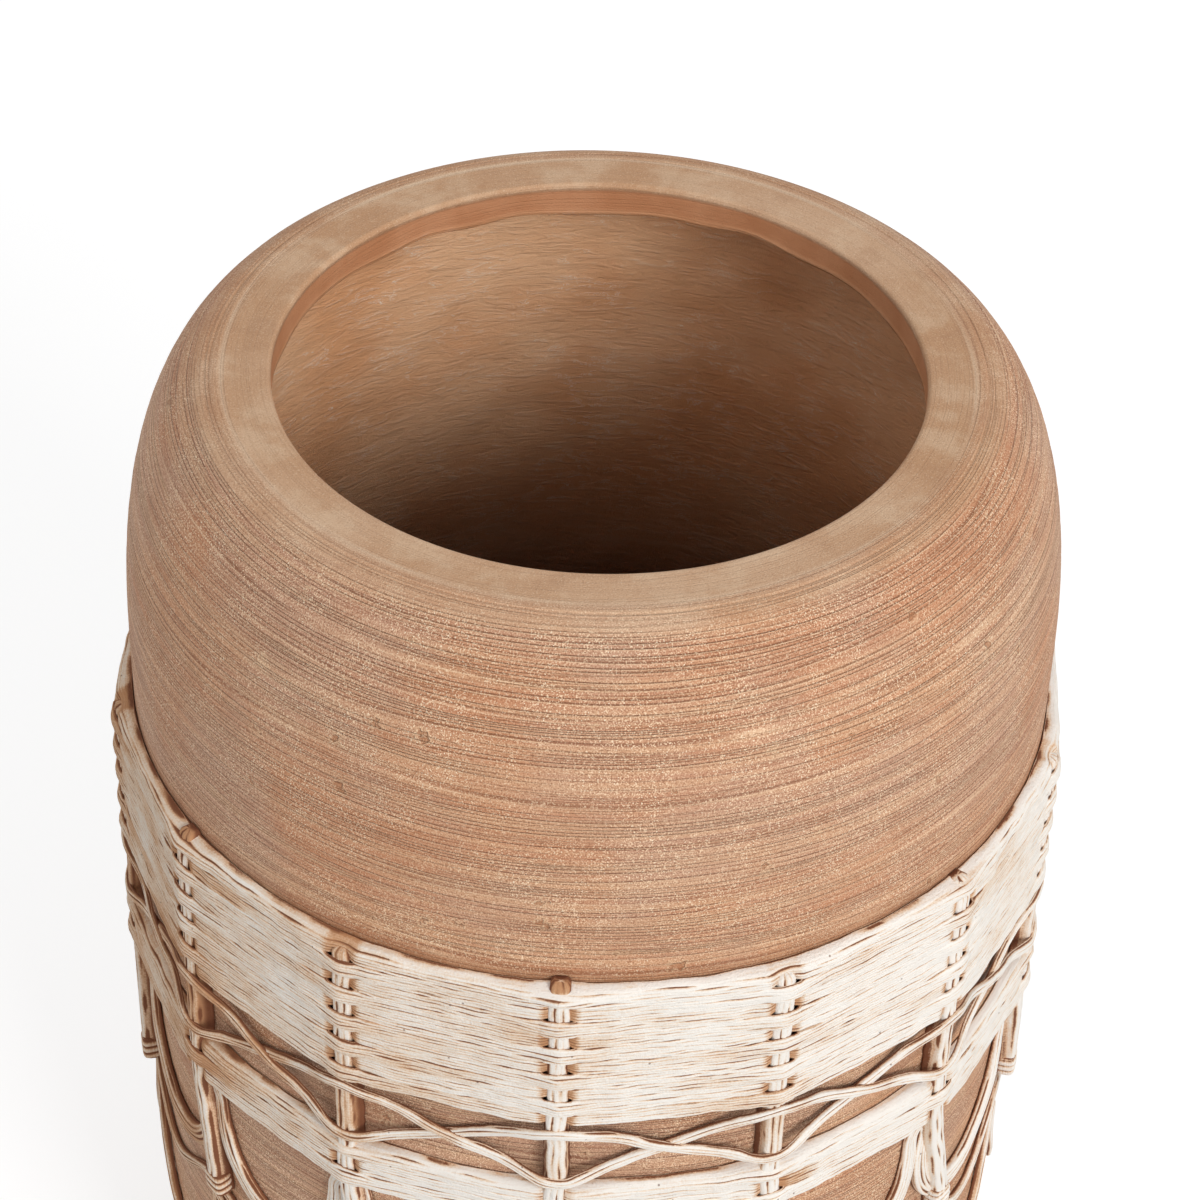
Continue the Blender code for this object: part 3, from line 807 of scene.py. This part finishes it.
# %% [markdown]
# The woven courses.
# A course passes in front of every second stake and behind the others. Pulled tight from stake to
# stake and beaten together, the courses make one mat of flat panels, which stands off the round
# wall like the sides of a fourteen-sided box. Only close to a stake does a course dive behind it,
# and there the two courses above and below spread and leave a small window on the stake.

# %% Woven courses
LAYER_GAP = 0.3 * MM
STRAND = 2.8 * MM
STAKE = 4.0 * MM
LATTICE = 2.0 * MM
BEHIND = LAYER_GAP
STAKE_LAYER = BEHIND + STRAND + LAYER_GAP
IN_FRONT = STAKE_LAYER + STAKE + LAYER_GAP
STEPS_IN_BAY = 62
HALF_STAKE = 4 * MM
COURSE_REEDS = 5
SLOPE_DROP = 0.9 * MM
DIVE_FACE = STAKE_LAYER + 2.4 * MM

# How far from a stake's middle a soft step begins and ends.
SLOPE = (22 * MM, 7 * MM)
LIFT_OFF = (8 * MM, 5 * MM)
DIVE = (7.6 * MM, 2.0 * MM)
EYE = (8.5 * MM, 5.0 * MM)

# Places round the pot: their angle, the nearest stake and the signed way from it along the wall.
angle = turns(STAKES * STEPS_IN_BAY)
nearest = np.round(angle / bay).astype(int)
from_stake = (angle - nearest * bay) * wall_max
near = np.abs(from_stake)
nearest %= STAKES


def smooth_step(value, low, high):
    """0 below low, 1 above high, and 3 t^2 - 2 t^3 between them; high may be the smaller one."""
    t = np.clip((value - low) / (high - low), 0, 1)
    return t * t * (3 - 2 * t)


def mat_face(way):
    """Lift of the mat's face at a way from a stake: straight from crest to crest as seen from above."""
    crest = wall_max + IN_FRONT + STRAND - 0.3 * MM
    return crest * np.cos(bay / 2) / np.cos(bay / 2 - way / wall_max) - wall_max


def course(node, first, number, roll=0.0, gaps=0.0):
    """One woven course, fitted to its CAD node's height and width."""
    low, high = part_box(node)
    front = (nearest + first) % 2 == 0
    count = len(angle)
    over = np.where(front, 1.0, 0.0)
    dive, slope, eye = ((1 - over) * smooth_step(near, *place) for place in (DIVE, SLOPE, EYE))
    swell = over * np.exp(-(near / (7 * MM)) ** 2) * 0.3 * MM
    face = mat_face(near) + swell - SLOPE_DROP * slope
    face = face * (1 - dive) + DIVE_FACE * dive
    face = smoothed(face, 1) + 0.14 * MM * noise_around(count, 130, 100 + number)
    back = BEHIND + (IN_FRONT - BEHIND) * over * smooth_step(near, *LIFT_OFF) * (roll == 0)
    spread = np.exp(-(near / (7.5 * MM)) ** 2)
    width = (high.z - low.z + 0.35 * MM) * (1 + np.where(front, 0.08, -0.10) * spread)
    width = width * (1 + 0.05 * over * spread * noise_around(count, 30, 250 + number))
    z = (low.z + high.z) / 2 + 0.22 * MM * noise_around(count, 60, 200 + number)
    arch = 0.5 * over * spread
    worn = np.clip(noise_around(count, 13, 300 + number), 0, 1)
    slit = gaps * np.clip(noise_around(count, 30, 350 + number) - 0.3, 0, 1)
    # The eyes beside the stakes are browned partly as unwashed cane and partly as painted shade.
    shade = (0.62 if roll == 0 else 0.35) * eye + 0.20 * worn + slit
    strand(node, band_wash, "woven_reed", (angle, z, back, face), width, COURSE_REEDS, arch,
           1000 + 97 * number, shade, fill=0.25, roll=roll)


upper = sorted(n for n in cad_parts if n.startswith("upper_course"))
lower = sorted(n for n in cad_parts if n.startswith("lower_course"))
for i, node in enumerate(upper):
    course(node, i, i, 0.85 if i == 0 else 0.0)
for i, node in enumerate(lower):
    course(node, i + 1, 20 + i, 0.85 if i == 0 else 0.0, 0.5 if i == 1 else 0.1)
print("courses", len(upper), "and", len(lower))
print("mat stands off by", round(mat_face(bay / 2 * wall_max) / MM, 1), "mm in mid bay")

# %% [markdown]
# The lattice.
# Two thinner strands zigzag through the open zone, in front of every stake, and cross between
# them, one over the other by turns. Both are the same path, half a period apart.

# %% Lattice strands
LATTICE_WIDTH = 4.6 * MM
LATTICE_HALF = 2 * MM
HOP = (24 * MM, 4 * MM)

# How far the strand stands off at places beside a stake, as a share of the way in front of it.
LATTICE_PLACES = np.array([0, 5, 9, 14, 20, 28, 50]) * MM
LATTICE_SHARES = np.array([1, 1, 0.85, 0.60, 0.36, 0.20, 0.12])

# How much higher the strand passes than its CAD node, at its upper and its lower turns.
CREST_RAISE = 2.2 * MM
FOOT_RAISE = 2.3 * MM
FOOT_RAISED_MORE = {0: 2.6 * MM, 1: 4.0 * MM}


def zigzag(first, high, low):
    """Height of the strand: level over each stake, straight between one stake and the next."""
    number = np.arange(STAKES)
    raised = [FOOT_RAISED_MORE.get(k, FOOT_RAISE) for k in range(STAKES)]
    passes = np.where((number + first) % 2 == 1, high + CREST_RAISE, low + np.array(raised))
    here = passes[nearest]
    there = passes[(nearest + np.where(from_stake > 0, 1, -1)) % STAKES]
    share = np.clip((near - HALF_STAKE) / (bay * wall_max - 2 * HALF_STAKE), 0, 1)
    return here + (there - here) * share


def lattice(node, first, number):
    """One zigzag strand with its hop over its twin."""
    low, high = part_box(node)
    z = zigzag(first, high.z - LATTICE_HALF, low.z + LATTICE_HALF)
    z = smoothed(z, 4) + 0.25 * MM * noise_around(len(angle), 24, 400 + number)
    lift = BEHIND + np.interp(near, LATTICE_PLACES, LATTICE_SHARES) * (IN_FRONT - BEHIND)
    to_middle = np.abs(bay * wall_max / 2 - near)
    bay_number = np.where(from_stake > 0, nearest, nearest - 1) % STAKES
    over = (bay_number + first) % 2 == 1
    hop = np.where(over, smooth_step(to_middle, *HOP), 0)
    lift = smoothed(lift + hop * (LATTICE - 0.4 * MM), 4)
    width = LATTICE_WIDTH * (1 + 0.10 * noise_around(len(angle), 90, 420 + number))
    worn = 0.05 + 0.25 * np.clip(noise_around(len(angle), 50, 440 + number), 0, 1)
    path = (angle, z, lift, lift + LATTICE + 0.3 * MM)
    strand(node, strand_wash, "lattice_reed", path, width, 3, 0.35, 5000 + 97 * number, worn, flare=0.1)


for i, node in enumerate(("lattice_strand_a", "lattice_strand_b")):
    lattice(node, i, i)

# %% [markdown]
# The hanging strands.
# Below the bands three strands hang from stake to stake. The upper one is the thickest: it goes up
# behind each stake, comes out beside it and falls into a deep half ellipse. On one side it stands
# clear of the stake right up to the band, on the other the stake hides it till lower down, so the
# two sides have their own turning radius. The middle one is a shallow wave, the lowest is like the
# first. A hand-laid net is never quite even, so each bay's drop differs a little.

# %% Swag strands
TURN_SAMPLES = 20
DROP_SAMPLES = 70
CLEAR_SIDES = {2: (1.0, 0.15), 3: (1.0, 0.7), 11: (0.7, 1.0), 12: (0.15, 1.0)}
LEANING_BAYS = {2: -0.16, 11: 0.16}


def swag_path(top, turn, drop, seed):
    """Half circles behind the stakes joined by half ellipses, closed round the pot."""
    draw = np.random.default_rng(seed)
    radius = float(wall_radius(top))
    sides = [CLEAR_SIDES.get(k, tuple(draw.permutation([1.0, draw.uniform(0.2, 1.0)])))
             for k in range(STAKES)]
    angles, heights, free = [], [], []
    for k, (left, right) in enumerate(sides):
        t = np.linspace(0, np.pi, TURN_SAMPLES, endpoint=False)
        reach = np.where(t < np.pi / 2, left, right) * turn / radius
        angles.append(k * bay - reach * np.cos(t))
        heights.append(top - turn + turn * np.sin(t))
        free.append(np.zeros(TURN_SAMPLES))
        t = np.linspace(0, np.pi, DROP_SAMPLES, endpoint=False)
        begin = k * bay + right * turn / radius
        end = (k + 1) * bay - sides[(k + 1) % STAKES][0] * turn / radius
        lean = LEANING_BAYS.get(k, draw.uniform(-0.06, 0.06)) * np.sin(t) * (end - begin)
        angles.append(begin + (end - begin) * (1 - np.cos(t)) / 2 + lean)
        heights.append(top - turn - drop * draw.uniform(0.88, 1.0) * np.sin(t) ** draw.uniform(0.95, 1.1))
        free.append(np.sin(t))
    return np.concatenate(angles), np.concatenate(heights), np.concatenate(free)


def hang(node, turned, z, face, width, reeds, seed):
    """A hanging strand, browner in seeded places."""
    worn = 0.25 * np.clip(noise_around(len(z), 60, seed + 6), 0, 1)
    strand(node, swag_wash, "swag_reed", (turned, z, BEHIND, face), width, reeds, 0.4, seed, worn)


def swag(node, half, turn, reeds, proud, seed):
    """A deep swag fitted to its CAD node's highest and lowest points, fuller where it hangs free."""
    low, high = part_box(node)
    top = high.z - half
    turned, z, free = swag_path(top, turn, top - turn - (low.z + half), seed)
    loose = np.clip(free * 2, 0, 1)
    face = BEHIND + STRAND + proud * loose + 0.15 * MM * noise_around(len(z), 80, seed + 3)
    width = 2 * half * (0.88 + 0.14 * loose + 0.05 * noise_around(len(z), 60, seed + 5))
    hang(node, turned, smoothed(z, 1), face, width, reeds, seed)


def scallop(node, half, reeds, seed):
    """A shallow wave, highest at the stakes, fitted to its CAD node."""
    low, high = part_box(node)
    top, foot = high.z - half, low.z + half
    z = foot + (top - foot) * (1 + np.cos(angle * STAKES)) / 2
    hang(node, angle, z, BEHIND + STRAND, 2 * half, reeds, seed)


swag("swag_strand_upper", 4.5 * MM, 8.5 * MM, 5, 1.2 * MM, 71)
scallop("swag_strand_middle", 2 * MM, 3, 72)
swag("swag_strand_lower", 2 * MM, 6 * MM, 3, 0.8 * MM, 73)

# %% [markdown]
# Stakes.
# The stakes are upright bundles of three reeds, whose stubs end at the first course or above it. Below
# the lower band their loose tails swing to one side.

# %% Stakes
STAKE_STEPS = 170
STAKE_REEDS = 3
ROUND_END = 2.2 * MM
STAKE_FACE = 8.4 * MM
SWAY = 0.0011
TUCK = 2.0 * MM
STUB_LENGTH = 6 * MM
TAIL_DRIFTS = np.radians(np.where(np.isin(np.arange(STAKES), (1, 2, 3)), 4.0, 2.4))
STUB_BROWN = {0: 0.9, 12: 0.6, 10: 0.6}
STUB_DROP = {0: 0.0, 12: 1.5 * MM, 2: 2.5 * MM}

# Heights at which a soft step begins and ends: of the tail's swing, and of the open zone's brown.
TAIL = (0.285, 0.200)
OPEN_FOOT = (0.297, 0.300)
OPEN_TOP = (0.335, 0.332)


def stake_drift(number, z):
    """How far a stake's loose tail has swung to the right at a height below the lower band."""
    return TAIL_DRIFTS[number] * smooth_step(z, *TAIL)


def stake(node, number):
    """An upright bundle from its CAD node's foot to its top, its ends drawn in to a round.

    Where the top course passes behind it the stub ends level with the band, elsewhere above it.
    """
    low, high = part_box(node)
    even = number % 2 == 0
    top = high.z - (STUB_DROP.get(number, 1.2 * MM) if even else 6.0 * MM)
    z = np.linspace(low.z, top, STAKE_STEPS)
    from_end = np.minimum(z - low.z, top - z)
    sway = SWAY * noise_around(STAKE_STEPS, 9, 600 + number)
    turned = number * bay + sway + stake_drift(number, z)
    ends = np.sqrt(np.clip(1 - (1 - np.clip(from_end / ROUND_END, 0, 1)) ** 2, 0.02, 1))
    width = 2 * HALF_STAKE * (0.55 + 0.45 * ends)
    tucked = smooth_step(z, top - 2 * STUB_LENGTH, top) * (TUCK if even else 0.0)
    face = STAKE_FACE - tucked - 2.5 * MM * (1 - ends)
    in_lattice = smooth_step(z, *OPEN_FOOT) * smooth_step(z, *OPEN_TOP)
    stub = smooth_step(z, top - STUB_LENGTH, top - 2 * MM) * STUB_BROWN.get(number, 0.25)
    brown = stub + 0.25 * in_lattice
    flare = 0.35 * smooth_step(z, band_top, band_top - 6 * MM)
    strand(node, strand_wash, "stake_reed", (turned, z, BEHIND, face), width, STAKE_REEDS, 0.25,
           7000 + 131 * number, brown, False, flare=flare)


for i, node in enumerate(stake_names):
    stake(node, i)

# %% [markdown]
# Ties.
# The loose end of each stake is bound by a few turns of reed. The binding is one closed sleeve, whose
# outer skin has a ridge for each turn and whose inner skin lies within the stake.

# %% Ties
TIE_TURNS = 3.4
TIE_AROUND = 48
TIE_OUT = 26
TIE_BACK = 8
TIE_PROUD = 1.2 * MM
TIE_WIDER = 1.7 * MM
OBLONG_POWER = 0.55


def tie(node, number):
    """A wound sleeve: a rounded oblong round the stake, its outer skin ridged turn by turn."""
    low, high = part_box(node)
    draw = np.random.default_rng(800 + number)
    t = turns(TIE_AROUND)
    share = np.linspace(0, 1, TIE_OUT)
    middle = (BEHIND + IN_FRONT + TIE_PROUD) / 2
    wide, deep = (np.sign(part) * np.abs(part) ** OBLONG_POWER for part in (np.cos(t), np.sin(t)))
    swell = np.sqrt(np.clip(1 - np.abs(2 * share - 1) ** 4, 0, 1))
    phase = TIE_TURNS * share[:, None] + t / (2 * np.pi) + draw.uniform(0, 1)
    ridge = np.abs(np.sin(np.pi * phase)) ** 0.6
    grow = (0.80 + 0.20 * ridge) * (0.75 + 0.25 * swell[:, None])
    back_share = np.linspace(1, 0, TIE_BACK)
    grow = np.concatenate([grow, np.full((TIE_BACK, TIE_AROUND), 0.66)])
    ridge = np.concatenate([ridge * swell[:, None], np.zeros((TIE_BACK, TIE_AROUND))])
    rise = np.concatenate([share, back_share])[:, None] * (high.z - low.z) + low.z
    z = rise + draw.uniform(-0.8, 0.8) * MM * wide
    x = (HALF_STAKE + TIE_WIDER) * wide * grow
    turned = number * bay + x / wall_max + stake_drift(number, z)
    radius = wall_radius(z) + middle + (middle - BEHIND) * deep * grow
    points = around(radius, turned, z)
    along = np.linspace(0, 30 * MM, len(points) + 1)
    piece = surface(node + "_turns", points, True, {"crest": ridge, "shade": np.full(ridge.shape, 0.05)},
                    along, np.linspace(0, 24 * MM, TIE_AROUND + 1))
    dress(piece, strand_wash, "pot", "tie_reed", node)


for i in range(STAKES):
    tie(f"stake_tie_{i + 1:02d}", i)
print("ties", STAKES)

# %% [markdown]
# The drain plug.
# A moulded rubber stopper: a stem in the hole, a flange in the dish round it and a knob to pull. It
# is a turned profile too, here with every edge rounded as a mould leaves it.

# %% Drain plug
PLUG_STEPS = 64


def rounded_line(corners, radius):
    """A line through corners with each inner corner cut to a quadratic curve of about that size."""
    corners = np.asarray(corners, float)
    line = [corners[:1]]
    for before, corner, after in zip(corners, corners[1:], corners[2:]):
        back, ahead = before - corner, after - corner
        back_length, ahead_length = np.linalg.norm(back), np.linalg.norm(ahead)
        cut = min(radius, back_length / 2.2, ahead_length / 2.2)
        start, end = corner + cut * back / back_length, corner + cut * ahead / ahead_length
        t = np.linspace(0, 1, 6)[:, None]
        line.append((1 - t) ** 2 * start + 2 * t * (1 - t) * corner + t ** 2 * end)
    line.append(corners[-1:])
    return np.concatenate(line)


def plug_piece():
    """The plug's profile carried round the axis, with small middles closed by fans."""
    low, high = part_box("drain_plug")
    stem = DRAIN_RADIUS - 0.4 * MM
    seat = dish_floor + LAYER_GAP
    line = rounded_line([
        (0.2 * MM, low.z), (stem, low.z), (stem, seat), (high.x, seat), (high.x, seat + 3 * MM),
        (3.4 * MM, seat + 3 * MM), (3.4 * MM, seat + 7.5 * MM), (6.5 * MM, seat + 9.5 * MM),
        (6.3 * MM, high.z), (0.2 * MM, high.z),
    ], 1.2 * MM)
    points = around(line[:, :1], turns(PLUG_STEPS), np.repeat(line[:, 1:], PLUG_STEPS, 1))
    return surface("rubber_drain_plug", points, False, {}, np.linspace(0, 60 * MM, len(line) + 1),
                   np.linspace(0, 75 * MM, PLUG_STEPS + 1))


def rubber_material():
    """Moulded natural rubber: near black, matt, with a fine bloom and dust."""
    made, tree = new_material("moulded_black_rubber")
    node = partial(add, tree)
    solid = node("TexCoord", output="Object")
    bloom = node("TexNoise", solid, 1 / (5 * MM), 5.0, 0.7)
    grit = node(TIMES, node("TexNoise", solid, 1 / (0.8 * MM), 2.0), 0.08 * MM)
    return shaded(made, Base_Color=painted(tree, linear("#1E1C1B"), ("#3A3531", bloom)),
                  Roughness=0.6, Normal=node("Bump", 1.0, 1.0, Height=grit))


dress(plug_piece(), rubber_material(), "plug", "black_rubber", "drain_plug")

# %% [markdown]
# Floor and light.
# The pot stands on a pale floor that runs to white, under a large soft lamp in front on its right, a
# weak one on its left and an even sky. The white comes from what the camera sees of the floor and the
# sky, not from more light.

# %% Floor and light
WHITE = (1.0, 1.0, 1.0, 1.0)
FLOOR_REACH = 6.0
FLOOR_GLOW = 0.62
SKY = 0.58
KEY_WATTS = 215.0
FILL_WATTS = 3.0


def seen(tree):
    """1 for a ray from the camera or from a mirror, 0 for light."""
    camera_ray = add(tree, "LightPath", output="Is Camera Ray")
    return add(tree, "Math MAXIMUM", camera_ray, camera_ray.node.outputs["Is Glossy Ray"])


def add_floor():
    """A wide white floor that keeps the pot's shadow."""
    mesh = bpy.data.meshes.new("floor")
    corners = [(x * FLOOR_REACH, y * FLOOR_REACH, 0) for x, y in ((-1, -1), (1, -1), (1, 1), (-1, 1))]
    mesh.from_pydata(corners, [], [(0, 1, 2, 3)])
    made, tree = new_material("white_studio_floor")
    glow = add(tree, TIMES, seen(tree), FLOOR_GLOW)
    mesh.materials.append(shaded(made, Base_Color=linear("#C4C4C4"), Roughness=0.9,
                                 Emission_Color=WHITE, Emission_Strength=glow))
    put("floor", mesh)


def add_lamp(name, watts, size, place, target):
    """A square soft lamp that looks at a point."""
    data = bpy.data.lights.new(name, "AREA")
    data.energy = watts
    data.size = size
    put(name, data).matrix_world = looking(place, np.subtract(target, place))


def add_sky():
    """An even white sky, at full white where the camera or a reflection sees it."""
    world = bpy.data.worlds.new("sky")
    world.use_nodes = True
    tree = world.node_tree
    back = tree.nodes["Background"]
    fill(tree, back.inputs["Color"], WHITE)
    fill(tree, back.inputs["Strength"], add(tree, "MapRange", seen(tree), 0.0, 1.0, SKY, 1.0))
    bpy.context.scene.world = world


add_floor()
add_lamp("key", KEY_WATTS, 2.4, (3.15, -4.5, 2.9), (0, 0, 0.40))
add_lamp("fill", FILL_WATTS, 1.6, (-1.9, -1.6, 1.4), (0, 0, 0.3))
add_sky()
print("lamps", KEY_WATTS, FILL_WATTS, "sky", SKY)
